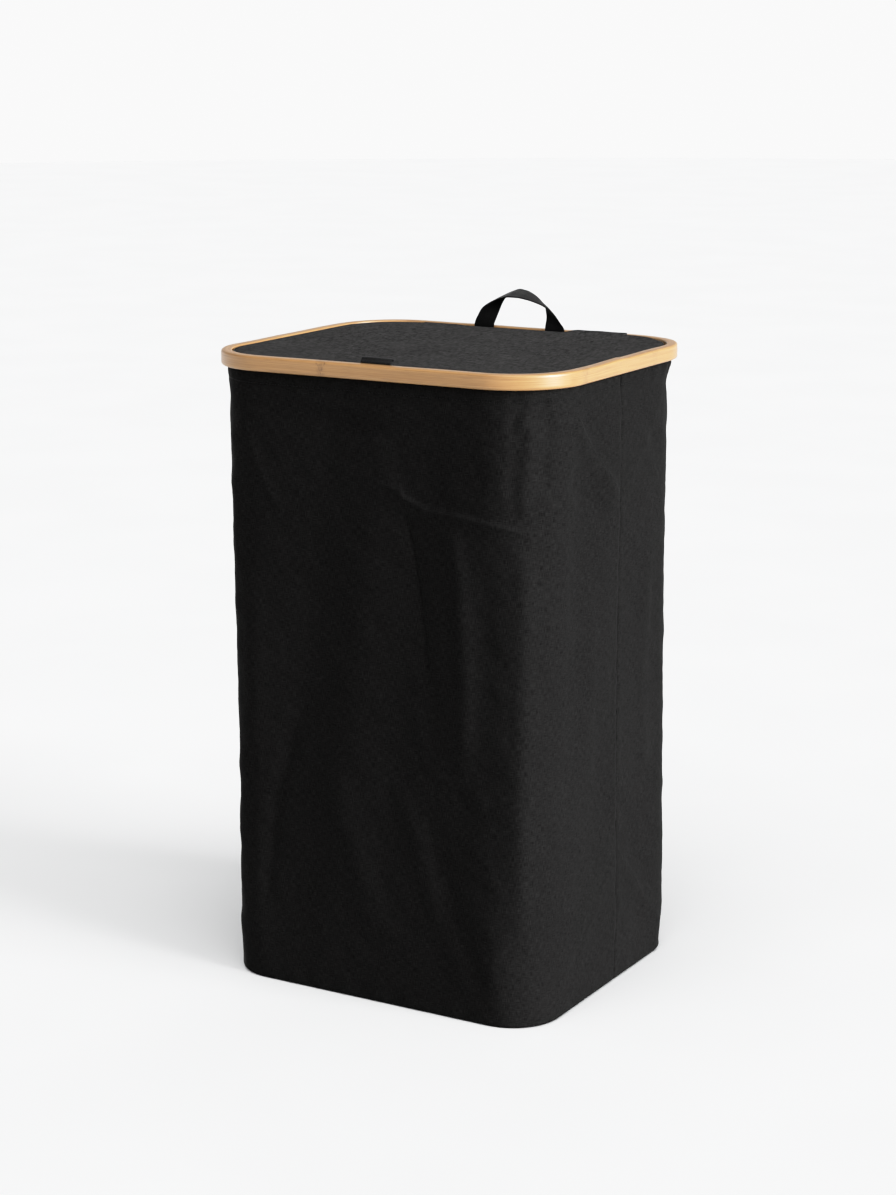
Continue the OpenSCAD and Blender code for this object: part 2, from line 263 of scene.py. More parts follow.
def grey(value, warm=0.0):
    return (value * (1 + warm), value, value * (1 - warm), 1)


# Warmth of woven cloth's greys, and strength of its wash
WARM, WASH = 0.02, 0.25


def woven(name, dark, light, pitch, slub, sheen=0.15, gloss=0.015):
    """Plain-woven cloth: threads of the given pitch, slubs along both threads, a faint uneven wash, and
    painted shade in the grooves between the threads.
    slub is the contrast of the slubs."""
    s = Shader(name, {"Sheen Weight": sheen, "Sheen Roughness": 0.3, "Specular IOR Level": gloss})
    place = s.attribute("weave")
    across, along, _ = s.split(place)[:3]
    a = s.math("SINE", s.times(across, math.pi / pitch))
    b = s.math("SINE", s.times(along, math.pi / pitch))
    over = s.times(a, b)
    groove = s.math("MINIMUM", s.math("ABSOLUTE", a), s.math("ABSOLUTE", b))
    thread = s.math("MULTIPLY_ADD", over, 0.35, groove)
    weft_slub = s.noise(place, (150, 2400, 1), 1.5)
    warp_slub = s.noise(place, (2400, 150, 1), 1.5)
    slubs = s.math("ADD", weft_slub, warp_slub)
    blotch = s.noise(place, (9, 7, 1), 3.0, 0.55)
    tone = s.span(slubs, 1.0 - 0.36 / slub, 1.0 + 0.36 / slub)
    worn = s.math("MULTIPLY_ADD", s.math("SUBTRACT", blotch, 0.5), WASH, tone)
    # The threads' relief is painted into the colour as well: painted shade in the grooves between threads and
    # lighter thread tops, over the random slubs and wash.
    tone_and_groove_shade = s.math("MULTIPLY_ADD", thread, 0.18, worn)
    colour = s.mix(s.span(tone_and_groove_shade, -0.05, 1.25), grey(dark, WARM), grey(light, WARM))
    height = s.math("MULTIPLY_ADD", slubs, 0.35, thread)
    roughness = s.span(tone_and_groove_shade, 0, 1.2, 0.86, 0.74)
    return s.finish(colour, roughness, s.bump(height, 0.10 * MM, 0.2))


PALE, TAN = (0.39, 0.222, 0.086, 1), (0.27, 0.138, 0.046, 1)
AMBER, BROWN = (0.31, 0.165, 0.058, 1), (0.12, 0.055, 0.018, 1)


def bamboo(name):
    """Lacquered bamboo strip: long fibres, short dark vessels, two glue lines and the culm's nodes.
    The strip attribute holds the distance along the strip, up it and into it."""
    s = Shader(name, {"Coat Weight": 0.8, "Coat Roughness": 0.38, "Specular IOR Level": 0.4})
    place = s.attribute("strip")
    run, height, depth = s.split(place)[:3]
    drift = s.noise(place, (3.0, 60, 60))
    fibre = s.noise(place, (9, 1500, 1500), 4.0, 0.62)
    vessel = s.noise(place, (45, 2600, 2600), 1.0)
    band = s.noise(place, (2.2, 260, 260))
    colour = s.mix(s.span(fibre, 0.32, 0.7), PALE, TAN)
    for noise, low, high, share, tint in ((band, 0.42, 0.68, 0.45, TAN), (vessel, 0.60, 0.72, 0.5, BROWN),
                                          (drift, 0.45, 0.75, 0.28, AMBER)):
        colour = s.mix(s.times(s.span(noise, low, high), share), colour, tint)
    wobble = s.math("MULTIPLY_ADD", s.noise(place, (150, 330, 120), 3.0, 0.7), 5 * MM, -2.5 * MM)
    run_wavy = s.math("ADD", run, wobble)
    patchy = s.span(s.noise(place, (260, 330, 330), 3.0, 0.7), 0.35, 0.62)
    arms = s.times(s.math("MAXIMUM", s.math("SUBTRACT", height, 5 * MM), 0.0), 0.55)
    for at, width, strength in NODE_MARKS:
        near = s.math("ABSOLUTE", s.math("SUBTRACT", run_wavy, at))
        stroke = s.math("ABSOLUTE", s.math("SUBTRACT", near, arms))
        core = s.times(s.span(stroke, 0.3 * MM, 1.7 * MM, 1.0, 0.0), strength)
        halo = s.times(s.span(near, 0.5 * width, 2 * width, 1.0, 0.0), 0.5 * strength)
        mark = s.times(s.math("MAXIMUM", core, halo), patchy)
        colour = s.mix(mark, colour, BROWN)
    for glue in (HOOP_T / 3, 2 * HOOP_T / 3):
        gap = s.math("ABSOLUTE", s.math("SUBTRACT", depth, glue))
        line = s.times(s.span(gap, 0.05 * MM, 0.25 * MM, 1.0, 0.0), 0.45)
        colour = s.mix(line, colour, BROWN)
    grain = s.math("MULTIPLY_ADD", vessel, -0.5, fibre)
    roughness = s.span(fibre, 0.2, 0.8, 0.34, 0.5)
    return s.finish(colour, roughness, s.bump(grain, 0.09 * MM, 0.55))


def webbing(name, dark, light, rib):
    """Woven strap: ribs across its width, and a fine herringbone along them. Its colour carries painted shade
    in the grooves between the ribs and cords.
    """
    s = Shader(name, {"Sheen Weight": 0.03, "Sheen Roughness": 0.4, "Specular IOR Level": 0.12})
    place = s.attribute("weave")
    across, along, _ = s.split(place)[:3]
    zig = s.math("PINGPONG", s.math("DIVIDE", across, 3 * rib), 1.0)
    ribs = s.math("SINE", s.math("MULTIPLY_ADD", along, 2 * math.pi / rib, s.times(zig, 6.0)))
    cords = s.math("SINE", s.times(across, 2 * math.pi / rib))
    height = s.math("MULTIPLY_ADD", cords, 0.5, ribs)
    fuzz = s.noise(place, (900, 900, 1), 3.0, 0.6)
    # Colour follows the ribs' height: painted shade in the grooves and lighter rib tops, over random fuzz.
    tone = s.math("MULTIPLY_ADD", height, 0.22, fuzz)
    colour = s.mix(s.span(tone, 0.0, 1.1), grey(dark), grey(light))
    return s.finish(colour, s.span(tone, 0, 1, 0.82, 0.66), s.bump(height, 0.12 * MM, 0.8))


def moulded_plastic(name, value):
    s = Shader(name, {"Specular IOR Level": 0.4})
    place = s.object_place()
    grain = s.noise(place, 1800)
    cloud = s.noise(place, 40, 3.0)
    colour = s.mix(s.span(cloud, 0.3, 0.7), grey(value), grey(value * 1.5))
    return s.finish(colour, s.span(grain, 0.2, 0.8, 0.42, 0.6), s.bump(grain, 0.05 * MM, 0.4))


def drawn_metal(name, value, roughness):
    s = Shader(name, {"Metallic": 1.0})
    place = s.object_place()
    lines = s.noise(place, (2500, 2500, 20), 3.0)
    stain = s.noise(place, (60, 60, 25), 3.0)
    colour = s.mix(s.span(stain, 0.35, 0.75), grey(value), grey(value * 0.82, 0.02))
    rough = s.span(lines, 0.2, 0.8, roughness, roughness + 0.2)
    return s.finish(colour, rough, s.bump(lines, 0.02 * MM, 0.3))


def hardboard(name):
    s = Shader(name, {"Specular IOR Level": 0.3})
    place = s.object_place()
    fibre = s.noise(place, 600, 5.0, 0.7)
    cloud = s.noise(place, 14, 3.0)
    colour = s.mix(s.span(fibre, 0.3, 0.7), (0.21, 0.115, 0.055, 1), (0.34, 0.2, 0.105, 1))
    colour = s.mix(s.times(s.span(cloud, 0.4, 0.7), 0.35), colour, (0.16, 0.085, 0.04, 1))
    return s.finish(colour, s.span(fibre, 0.2, 0.8, 0.5, 0.7), s.bump(fibre, 0.06 * MM, 0.4))


def thread_material(name, value):
    s = Shader(name, {"Sheen Weight": 0.02, "Specular IOR Level": 0.15})
    twist = s.noise(s.object_place(), 1500)
    colour = s.mix(s.span(twist, 0.3, 0.7), grey(value), grey(value * 1.8))
    return s.finish(colour, s.span(twist, 0.2, 0.8, 0.5, 0.7), s.bump(twist, 0.05 * MM, 0.5))


def floor_material(name):
    s = Shader(name, {"Specular IOR Level": 0.15})
    grain = s.noise(s.object_place(), 3)
    colour = s.mix(s.span(grain, 0.3, 0.7), (0.88, 0.885, 0.89, 1), (0.90, 0.905, 0.91, 1))
    return s.finish(colour, s.span(grain, 0, 1, 0.7, 0.8))


# ---- Mesh helpers ----


def stacked(*parts):
    """Coordinates, arrays or plain numbers, put together as points."""
    return np.stack(np.broadcast_arrays(*parts), -1)


def make_piece(name, vertices, faces, material, values=None, attribute="weave", smooth=True):
    """A mesh object. values is one vector a vertex, kept in the named attribute for the material."""
    mesh = bpy.data.meshes.new(name)
    mesh.from_pydata([tuple(v) for v in np.reshape(vertices, (-1, 3))], [], faces)
    if values is not None:
        layer = mesh.attributes.new(attribute, "FLOAT_VECTOR", "POINT")
        layer.data.foreach_set("vector", np.asarray(values, np.float32).ravel())
    mesh.materials.append(material)
    mesh.polygons.foreach_set("use_smooth", [smooth] * len(mesh.polygons))
    mesh.update()
    piece = bpy.data.objects.new(name, mesh)
    bpy.context.collection.objects.link(piece)
    return piece


def grid_faces(rows, cols, closed_cols=False, closed_rows=False, flip=False):
    """Faces of a grid of rows by cols points, numbered row by row."""
    i, j = np.mgrid[0:rows - (not closed_rows), 0:cols - (not closed_cols)]
    i2, j2 = (i + 1) % rows, (j + 1) % cols
    faces = np.stack([i * cols + j, i * cols + j2, i2 * cols + j2, i2 * cols + j], -1).reshape(-1, 4)
    return (faces[:, ::-1] if flip else faces).tolist()


def thicken(piece, thickness, offset=-1.0):
    made = piece.modifiers.new("thickness", "SOLIDIFY")
    made.thickness = thickness
    made.offset = offset
    made.use_even_offset = False


def soften_edges(piece):
    made = piece.modifiers.new("edges", "BEVEL")
    made.width = 0.3 * MM
    made.segments = 2
    made.limit_method = "ANGLE"
    made.angle_limit = math.radians(40)


def settle(piece):
    """Apply the piece's modifiers, so that its mesh is final."""
    graph = bpy.context.evaluated_depsgraph_get()
    mesh = bpy.data.meshes.new_from_object(piece.evaluated_get(graph))
    piece.modifiers.clear()
    piece.data = mesh


def swept(sections):
    """Vertices and faces of closed sections joined one after another, with end caps."""
    count, size = len(sections), len(sections[0])
    faces = grid_faces(count, size, closed_cols=True)
    faces.append(list(range(size))[::-1])
    faces.append([(count - 1) * size + k for k in range(size)])
    return np.concatenate(sections), faces


def unit(vectors):
    return vectors / np.linalg.norm(vectors, axis=-1, keepdims=True)


def distances(points):
    """Distance of each point along the line through them all."""
    return np.concatenate([[0], np.cumsum(np.linalg.norm(np.diff(points, axis=0), axis=1))])


def smooth_step(x, low, high):
    t = np.clip((x - low) / (high - low), 0, 1)
    return t * t * (3 - 2 * t)


def hump(x, middle, width):
    return np.exp(-(((x - middle) / width) ** 2))


def ripples(x, y, seed, count, shortest, longest, lean=math.pi):
    """Smooth uneven surface: waves of random direction, phase and length, between the two in millimetres.
    Its usual size is about 1."""
    random = np.random.default_rng(seed)
    total = np.zeros(np.broadcast(x, y).shape)
    for _ in range(count):
        turn = random.uniform(-lean / 2, lean / 2)
        wave = 2 * math.pi / random.uniform(shortest * MM, longest * MM)
        phase = random.uniform(0, 2 * math.pi)
        total += np.sin(wave * (x * math.cos(turn) + y * math.sin(turn)) + phase)
    return total / math.sqrt(count / 2)


# ---- Rounded rectangles. A size is half the width, half the depth and the corners' radius. ----


def stretch_lengths(size):
    """Lengths of the straight and round stretches between marks, from the middle of the right side."""
    half_w, half_d, radius = size
    side, face, corner = half_d - radius, 2 * (half_w - radius), radius * math.pi / 2
    return [side, corner, face, corner, 2 * side, corner, face, corner, side]


def outline_marks(size, pitch):
    """Even marks round a rounded rectangle, anticlockwise from the middle of its right side.
    Each is (stretch, share of the stretch, distance along)."""
    marks, start = [], 0.0
    for stretch, length in enumerate(stretch_lengths(size)):
        count = max(2, round(length / pitch))
        marks += [(stretch, k / count, start + length * k / count) for k in range(count)]
        start += length
    return np.array(marks)


def outline(marks, size, inset=0.0, centre_y=0.0):
    """Points and outward normals, in plan, at the marks of a rounded rectangle, moved in by the inset."""
    half_w, half_d = size[0] - inset, size[1] - inset
    radius = max(size[2] - inset, 2 * MM)
    stretch, share = marks[:, 0].astype(int), marks[:, 1]
    side, face = half_d - radius, half_w - radius
    x, y, nx, ny = np.zeros((4, len(marks)))
    straights = {
        0: (half_w, half_w, 0, side, 1, 0),
        2: (face, -face, half_d, half_d, 0, 1),
        4: (-half_w, -half_w, side, -side, -1, 0),
        6: (-face, face, -half_d, -half_d, 0, -1),
        8: (half_w, half_w, -side, 0, 1, 0),
    }
    for key, (x0, x1, y0, y1, a, b) in straights.items():
        on = stretch == key
        x[on], y[on] = x0 + (x1 - x0) * share[on], y0 + (y1 - y0) * share[on]
        nx[on], ny[on] = a, b
    for turn in range(4):
        on = stretch == 2 * turn + 1
        angle = math.pi / 2 * (turn + share[on])
        middle = math.pi / 2 * (turn + 0.5)
        nx[on], ny[on] = np.cos(angle), np.sin(angle)
        x[on] = math.copysign(face, math.cos(middle)) + radius * nx[on]
        y[on] = math.copysign(side, math.sin(middle)) + radius * ny[on]
    return x, y + centre_y, nx, ny


# ---- Bamboo hoop ----

HOOP_SIZE = HOOP_W, HOOP_D, HOOP_R
HOOP_STRETCHES = stretch_lengths(HOOP_SIZE)
HOOP_LENGTH = sum(HOOP_STRETCHES)
FRONT_MIDDLE = sum(HOOP_STRETCHES[:6]) + HOOP_STRETCHES[6] / 2
# Culm nodes: distance along the strip, half width of the mark and strength
NODE_MARKS = [
    (FRONT_MIDDLE - 48 * MM, 3.4 * MM, 0.75),
    (HOOP_LENGTH - 89 * MM, 4.0 * MM, 0.5),
    (60 * MM, 3.6 * MM, 0.3),
    (310 * MM, 3.0 * MM, 0.5),
    (560 * MM, 3.0 * MM, 0.4),
    (760 * MM, 2.6 * MM, 0.55),
]
# Points on each rounded corner of the hoop's profile
ROUND_STEPS = 5


def rounded_profile(points):
    """Closed outline with its corners rounded. Each point is (depth, height, radius)."""
    made = []
    for k, (x, y, r) in enumerate(points):
        before, after = points[k - 1], points[(k + 1) % len(points)]
        here = np.array([x, y])
        a, b = unit(before[:2] - here), unit(after[:2] - here)
        for t in np.linspace(0, 1, ROUND_STEPS) if r else [0.5]:
            made.append((1 - t) ** 2 * (here + a * r) + 2 * t * (1 - t) * here + t * t * (here + b * r))
    return np.array(made)


def bamboo_hoop(material):
    marks = outline_marks(HOOP_SIZE, 6 * MM)
    height, shoulder = TOP_Z - HOOP_Z, LEDGE_Z - HOOP_Z
    hem_depth = HOOP_T - REBATE_T
    edge = 2.8 * MM
    profile = rounded_profile([
        (0, 0, edge), (0, height, edge), (HOOP_T, height, 0.6 * edge), (HOOP_T, shoulder, 0.4 * MM),
        (hem_depth, shoulder, 0), (hem_depth, 0, 0.4 * MM),
    ])
    profile = np.insert(profile, ROUND_STEPS, [[0, height * f] for f in (0.25, 0.5, 0.75)], axis=0)
    along = marks[:, 2]
    vertices, values = [], []
    for depth, rise in profile:
        x, y, _, _ = outline(marks, HOOP_SIZE, depth)
        uneven = 0.12 * MM * ripples(along, depth, 3, 8, 60, 260, 0.1)
        vertices.append(stacked(x, y, HOOP_Z + rise + uneven * (rise > shoulder)))
        values.append(stacked(along, rise, depth))
    faces = grid_faces(len(profile), len(marks), closed_cols=True, closed_rows=True, flip=True)
    piece = make_piece("bamboo_hoop_strip", vertices, faces, material, values, "strip")
    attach(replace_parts(piece, "bamboo_hoop"), "hamper_body")


# ---- Body cloth ----

# Distance round a body half, from its face's middle to a side's middle. It is called u below.
SIDE_ZERO = 320.5 * MM
TURN_IN = 4.5 * MM
HEM_STITCH_Z = HOOP_Z - 12 * MM
# Share of a fold's length over which each of its ends fades out
FADE = 0.2


def body_size(z):
    """Half width, half depth and corner radius of the body at a height."""
    up = np.clip(z / HOOP_Z, 0, 1)
    waist = WAIST * np.sin(math.pi * up)
    under = np.clip(1 - z / TURN_IN, 0, 1)
    roll = TURN_IN * (1 - np.sqrt(np.maximum(1 - under**2, 0))) * 0.75
    half_w = BASE_W + (HEM_W - BASE_W) * up - waist - roll
    half_d = BASE_D + (HEM_D - BASE_D) * up - waist - roll
    return half_w, half_d, BASE_R + (HEM_R - BASE_R) * up - roll


def seam_at(z, back=False):
    """How far back a half's side seams are at a height, from the middle of the side. They lean forward."""
    return SEAM_LEAN * (1 - np.clip(z / HOOP_Z, 0, 1)) * (-1 if back else 1)


def half_columns():
    """(stretch, share) of each column of a body half, closer together at the side seams and the long crease.
    Lengths are in millimetres."""
    side, corner, face, pitch = 100, 92, 128, 3
    close = [0, 0.7, 1.5, 2.4, 3.6, 5.2, 7.4]
    seam_shares = np.concatenate([close, np.linspace(10, side, round(side / pitch) - 2)]) / side
    corner_shares = np.arange(0, 1, pitch / corner)
    face_x = [np.linspace(face, 72, 19), np.linspace(70, 34, 24), np.linspace(31, 4 - face, 45)]
    face_shares = (face - np.concatenate(face_x)) / (2 * face)
    shares = [seam_shares[:-1], corner_shares, face_shares, corner_shares, 1 - seam_shares[::-1]]
    return np.array([(stretch, f) for stretch, row in enumerate(shares) for f in row])


def half_rows():
    """Heights of the rows of a body half, closer together at its ends and at the long crease."""
    low = np.array([0, 0.5, 1.2, 2.2, 3.5, 5.2, 7.5]) * MM
    high = HOOP_Z + np.array([-6, -4, -2.5, -1, 0.5, 3, 7.5]) * MM
    middle = [np.linspace(10, 484, 130), np.linspace(486, 550, 45), np.linspace(553, 626, 24)]
    return np.concatenate([low, np.concatenate(middle) * MM, high])


def half_surface(columns, z, back):
    """Plain surface of a body half: points, outward normals and u."""
    stretch, share = columns[:, 0].astype(int)[None, :], columns[:, 1][None, :]
    z = z[:, None]
    half_w, half_d, r = body_size(z)
    face, side = half_w - r, half_d - r
    seam = seam_at(z, back)
    angle = -math.pi / 2 * (share + (stretch == 3))
    cos, sin = np.cos(angle), np.sin(angle)

    def along(*values):
        """One value for each stretch: right side, corner, face, corner and left side."""
        return np.select([stretch == k for k in range(4)], values[:4], values[4])

    x = along(half_w, face + r * cos, face * (1 - 2 * share), -face + r * cos, -half_w)
    y = along(seam - share * (side + seam), -side + r * sin, -half_d, -side + r * sin,
              -side + share * (side + seam))
    arc = SIDE_ZERO - side - face
    u = along(SIDE_ZERO + y, SIDE_ZERO - side - arc * share, x, -face - arc * share, -(SIDE_ZERO + y))
    sign = -1 if back else 1
    normals = stacked(sign * along(1.0, cos, 0.0, cos, -1.0), sign * along(0.0, sin, -1.0, sin, 0.0), 0 * x)
    return stacked(sign * x, sign * y, z), normals, u


def crease(u, z, line, depth, width, kind="ridge"):
    """Height of a fold along a line of (u, z) points in millimetres. Its ends fade out.
    A fold has a sharp top and a ridge a round one. A shelf is steep on its left, seen from its start,
    and slopes gently on its right."""
    line = [(a * MM, b * MM) for a, b in line]
    lengths = [math.dist(line[k], line[k + 1]) for k in range(len(line) - 1)]
    total, start = sum(lengths), 0.0
    near = np.full(np.broadcast(u, z).shape, np.inf)
    share, side = np.zeros_like(near), np.ones_like(near)
    for (u0, z0), (u1, z1), length in zip(line, line[1:], lengths):
        du, dz = u1 - u0, z1 - z0
        t = np.clip(((u - u0) * du + (z - z0) * dz) / length**2, 0, 1)
        pu, pz = u - u0 - t * du, z - z0 - t * dz
        far = np.hypot(pu, pz)
        closer = far < near
        near = np.where(closer, far, near)
        share = np.where(closer, (start + t * length) / total, share)
        side = np.where(closer, np.sign(du * pz - dz * pu), side)
        start += length
    ends = smooth_step(share, 0, FADE) * smooth_step(1 - share, 0, FADE)
    d = near / (width * MM)
    shapes = {
        "fold": np.exp(-d),
        "ridge": np.exp(-d * d),
        "shelf": np.where(side > 0, np.exp(-d), np.exp(-d / 6)),
    }
    return depth * MM * ends * shapes[kind]


def on_side(right, front, points):
    """(y, z) points on a side, in millimetres, as (u, z) points of the half that they are on."""
    sign = (1 if right else -1) * (1 if front else -1)
    zero = SIDE_ZERO / MM
    return [(sign * (zero + (y if front else -y)), z) for y, z in points]


# Folds of the two halves: line, height, width, and kind if it isn't a ridge. The front's are the real ones.
FRONT_FOLDS = [
    ([(2, 539), (19, 535), (36, 531), (42, 524), (70, 512), (97, 512), (125, 508), (160, 501), (190, 496)],
     3.2, 2.4, "shelf"),
    ([(38, 523), (47, 483), (54, 444), (62, 385), (66, 335)], -2.6, 1.9, "fold"),
    ([(38, 523), (47, 483), (54, 444), (62, 385), (66, 335), (74, 250)], -1.6, 12),
    ([(95, 521), (97, 488), (103, 429), (108, 331), (104, 240)], 2.8, 10),
    ([(128, 500), (132, 420), (136, 250), (142, 120)], -1.8, 13),
    ([(-154, 609), (-138, 565), (-121, 526), (-96, 488)], 1.6, 4, "fold"),
    ([(-83, 305), (-116, 195), (-124, 130), (-132, 63)], -2.8, 10),
    ([(-83, 305), (-116, 195), (-124, 130), (-132, 63)], -0.9, 3.6, "fold"),
    ([(-60, 250), (-20, 160), (10, 60)], 2.2, 18),
    ([(-150, 470), (-141, 330), (-150, 180)], 2.2, 15),
    ([(60, 190), (96, 110), (130, 20)], -2.3, 12),
    ([(20, 240), (50, 190), (80, 90)], 2.0, 14),
    ([(150, 632), (152, 590), (148, 545), (150, 508)], 2.4, 7, "shelf"),
    ([(160, 622), (172, 590), (166, 540), (168, 505)], 2.3, 6),
    ([(186, 628), (190, 590), (184, 530)], -2.5, 7),
    ([(150, 598), (158, 607), (168, 622)], -1.8, 2.6, "fold"),
    ([(158, 592), (166, 604), (176, 618)], 1.6, 2.8, "fold"),
    ([(140, 610), (150, 617), (160, 630)], -1.3, 2.6, "fold"),
    ([(164, 520), (168, 470), (167, 330), (166, 200), (168, 60)], 3.3, 11),
    ([(-164, 600), (-168, 470), (-167, 330), (-166, 200), (-168, 60)], 1.6, 12),
    ([(-150, 606), (-80, 614), (-10, 604), (60, 612), (120, 606)], 1.2, 7),
    ([(-120, 588), (-60, 594), (0, 583), (70, 590)], -1.2, 8),
    (on_side(True, True, [(-106, 617), (-70, 580), (-30, 540), (3, 508)]), 2.8, 2.5, "shelf"),
    (on_side(True, True, [(-106, 611), (-60, 563), (3, 500)]), 2.3, 11),
    (on_side(True, True, [(-110, 560), (-60, 520), (-8, 470)]), -1.4, 12),
    (on_side(True, True, [(-75, 47), (-30, 97), (8, 145)]), 2.4, 2.5, "shelf"),
    (on_side(True, True, [(0, 170), (-30, 120), (-80, 70)]), 1.7, 12),
    (on_side(True, True, [(-60, 470), (-52, 330), (-58, 190)]), 1.9, 14),
    (on_side(False, True, [(-106, 617), (-60, 570), (3, 508)]), 1.9, 5, "fold"),
    (on_side(False, True, [(8, 145), (-30, 97), (-75, 47)]), 1.6, 6, "fold"),
    (on_side(False, True, [(-70, 480), (-60, 350), (-66, 190)]), 2.0, 15),
]
BACK_FOLDS = [
    ([(-20, 540), (-60, 517), (-110, 512), (-170, 500)], 1.6, 4, "fold"),
    ([(-20, 540), (-60, 517), (-110, 512), (-170, 500)], 2.2, 13),
    ([(30, 500), (22, 420), (36, 300)], -2.8, 11),
    ([(-70, 480), (-84, 350), (-76, 220)], 2.8, 13),
    ([(90, 600), (102, 520), (94, 430)], 2.3, 9),
    ([(120, 300), (104, 180), (112, 60)], -2.5, 14),
    ([(-120, 200), (-96, 120), (-90, 40)], 2.2, 12),
    ([(164, 600), (168, 470), (167, 330), (168, 60)], 2.6, 12),
    ([(-164, 600), (-168, 470), (-167, 330), (-168, 60)], 2.3, 12),
    (on_side(True, False, [(106, 617), (60, 565), (3, 508)]), 0.6, 3.6, "fold"),
    (on_side(True, False, [(106, 617), (60, 565), (3, 508)]), 1.0, 12),
    ([(-120, 612), (-150, 611), (-190, 611), (-235, 612)], -2.6, 12),
    (on_side(True, False, [(12, 145), (60, 95), (130, 18)]), 2.4, 2.5, "shelf"),
    (on_side(True, False, [(70, 460), (64, 330), (72, 190)]), 2.2, 14),
    (on_side(False, False, [(106, 617), (60, 565), (3, 508)]), 1.6, 5, "fold"),
    (on_side(False, False, [(12, 145), (60, 95), (120, 30)]), 1.6, 6, "fold"),
]


def cloth_height(u, z, folds, seed, seam_u):
    """How far the cloth stands out from its plain surface."""
    inside = smooth_step(z, 6 * MM, 60 * MM) * smooth_step(HOOP_Z - z, 2 * MM, 45 * MM)
    height = 1.0 * MM * ripples(u, 0.35 * z, seed, 9, 70, 210, 0.9) * inside
    height += 0.28 * MM * ripples(u, z, seed + 1, 16, 22, 60) * inside
    height += 0.07 * MM * ripples(u, z, seed + 2, 24, 8, 20) * inside
    under_hoop = hump(z, HOOP_Z, 16 * MM) * smooth_step(HOOP_Z - z, 0, 5 * MM)
    gathers = ripples(u, 0, seed + 3, 12, 16, 46, 0.1)
    height += under_hoop * (0.7 * MM + 0.5 * MM * gathers)
    at_floor = hump(z, 9 * MM, 9 * MM) * smooth_step(z, 1 * MM, 5 * MM)
    height += at_floor * 0.45 * MM * ripples(u, 0, seed + 4, 12, 18, 55, 0.1)
    for fold in folds:
        height += crease(u, z, *fold)
    to_seam = np.abs(np.abs(u) - seam_u)
    open_top = hump(z, 610 * MM, 14 * MM)
    tight = smooth_step(z, 505 * MM, 525 * MM) * (1 - open_top)
    slit = 2.0 - 0.9 * tight
    height -= slit * MM * np.exp(-to_seam / (0.9 * MM)) * smooth_step(HOOP_Z - z, 0, 3 * MM)
    height += 0.5 * MM * hump(to_seam, 6 * MM, 4 * MM) * inside
    height -= 0.35 * MM * hump(z, HEM_STITCH_Z, 1.6 * MM)
    return height * smooth_step(HOOP_Z + 1 * MM - z, 0, 2 * MM)


def body_half(name, node, back, folds, seed, material):
    """Front or back cloth of the body. Returns the points and normals of its row of hem stitches."""
    columns, z = half_columns(), half_rows()
    points, normals, u = half_surface(columns, z, back)
    height = cloth_height(u, z[:, None], folds, seed, SIDE_ZERO + seam_at(z, back)[:, None])
    points = points + normals * height[..., None]
    faces = grid_faces(len(z), len(columns), flip=True)
    piece = make_piece(name, points, faces, material, stacked(u, z[:, None], 0))
    thicken(piece, CLOTH_T)
    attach(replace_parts(piece, node), "hamper_body")
    hem_row = int(np.argmin(np.abs(z - HEM_STITCH_Z)))
    return points[hem_row], normals[hem_row]


def bottom_cloth(material):
    size = [float(v) for v in body_size(0.0)]
    marks = outline_marks(size, 8 * MM)
    insets = np.array([0.4, 2, 5, 12, 25, 45, 70, 100, 130, 150]) * MM
    vertices = []
    for inset in insets:
        x, y, _, _ = outline(marks, size, inset)
        lift = 0.5 * MM * math.exp(-inset / (3 * MM))
        vertices.append(stacked(x, y, 0.05 * MM + lift))
    faces = grid_faces(len(insets), len(marks), closed_cols=True, flip=True)
    last = (len(insets) - 1) * len(marks)
    faces.append(list(range(last, last + len(marks)))[::-1])
    piece = make_piece("bottom_cloth", vertices, faces, material, vertices)
    thicken(piece, CLOTH_T)
    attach(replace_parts(piece, "bottom_panel"), "hamper_body")


def seam_tape(side, material):
    """Tape that binds the seam allowance on the inside of a side seam."""
    node = "seam_tape_right" if side > 0 else "seam_tape_left"
    low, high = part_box(node)
    z = np.linspace(low[2], high[2], 150)[:, None]
    across = np.linspace(-5, 5, 9)[None, :] * MM
    half_w, _, _ = body_size(z)
    inset = CLOTH_T + 1.9 * MM + 0.35 * MM * ripples(z, across, 61 + side, 10, 20, 70)
    points = stacked(side * (half_w - inset), seam_at(z) + across, z)
    faces = grid_faces(*points.shape[:2], flip=side < 0)
    piece = make_piece(node + "_cloth", points, faces, material, stacked(across, z, 0))
    thicken(piece, 0.7 * MM, 0)
    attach(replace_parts(piece, node), "hamper_body")


def ring_piece(name, node, body, size, profile, material, centre_y=0.0, shift=None):
    """Closed profile of (inset, height) points swept round a rounded rectangle. shift gives extra height."""
    marks = outline_marks(size, 3 * MM)
    along = marks[:, 2]
    sections, values = [], []
    run = 0.0
    for k, (inset, z) in enumerate(profile):
        run += math.dist(profile[k - 1], profile[k]) if k else 0
        x, y, nx, ny = outline(marks, size, inset, centre_y)
        wave = 0.06 * MM * ripples(along, run, 71, 14, 12, 60)
        lift = shift(x, y, z) if shift else 0
        sections.append(stacked(x - nx * wave, y - ny * wave, z + lift))
        values.append(stacked(run, along, 0))
    faces = grid_faces(len(profile), len(marks), closed_cols=True, closed_rows=True, flip=True)
    piece = make_piece(name, sections, faces, material, values)
    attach(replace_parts(piece, node), body)


def bottom_binding(material):
    low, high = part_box("bottom_binding")
    t = 0.9 * MM
    profile = [(0, low[2]), (0, high[2] - 0.3 * MM), (0.3 * MM, high[2]), (t, high[2] - 0.2 * MM),
               (t, low[2])]
    ring_piece("bottom_binding_tape", "bottom_binding", "hamper_body",
               (high[0], high[1], BASE_R - 2.3 * MM), profile, material)


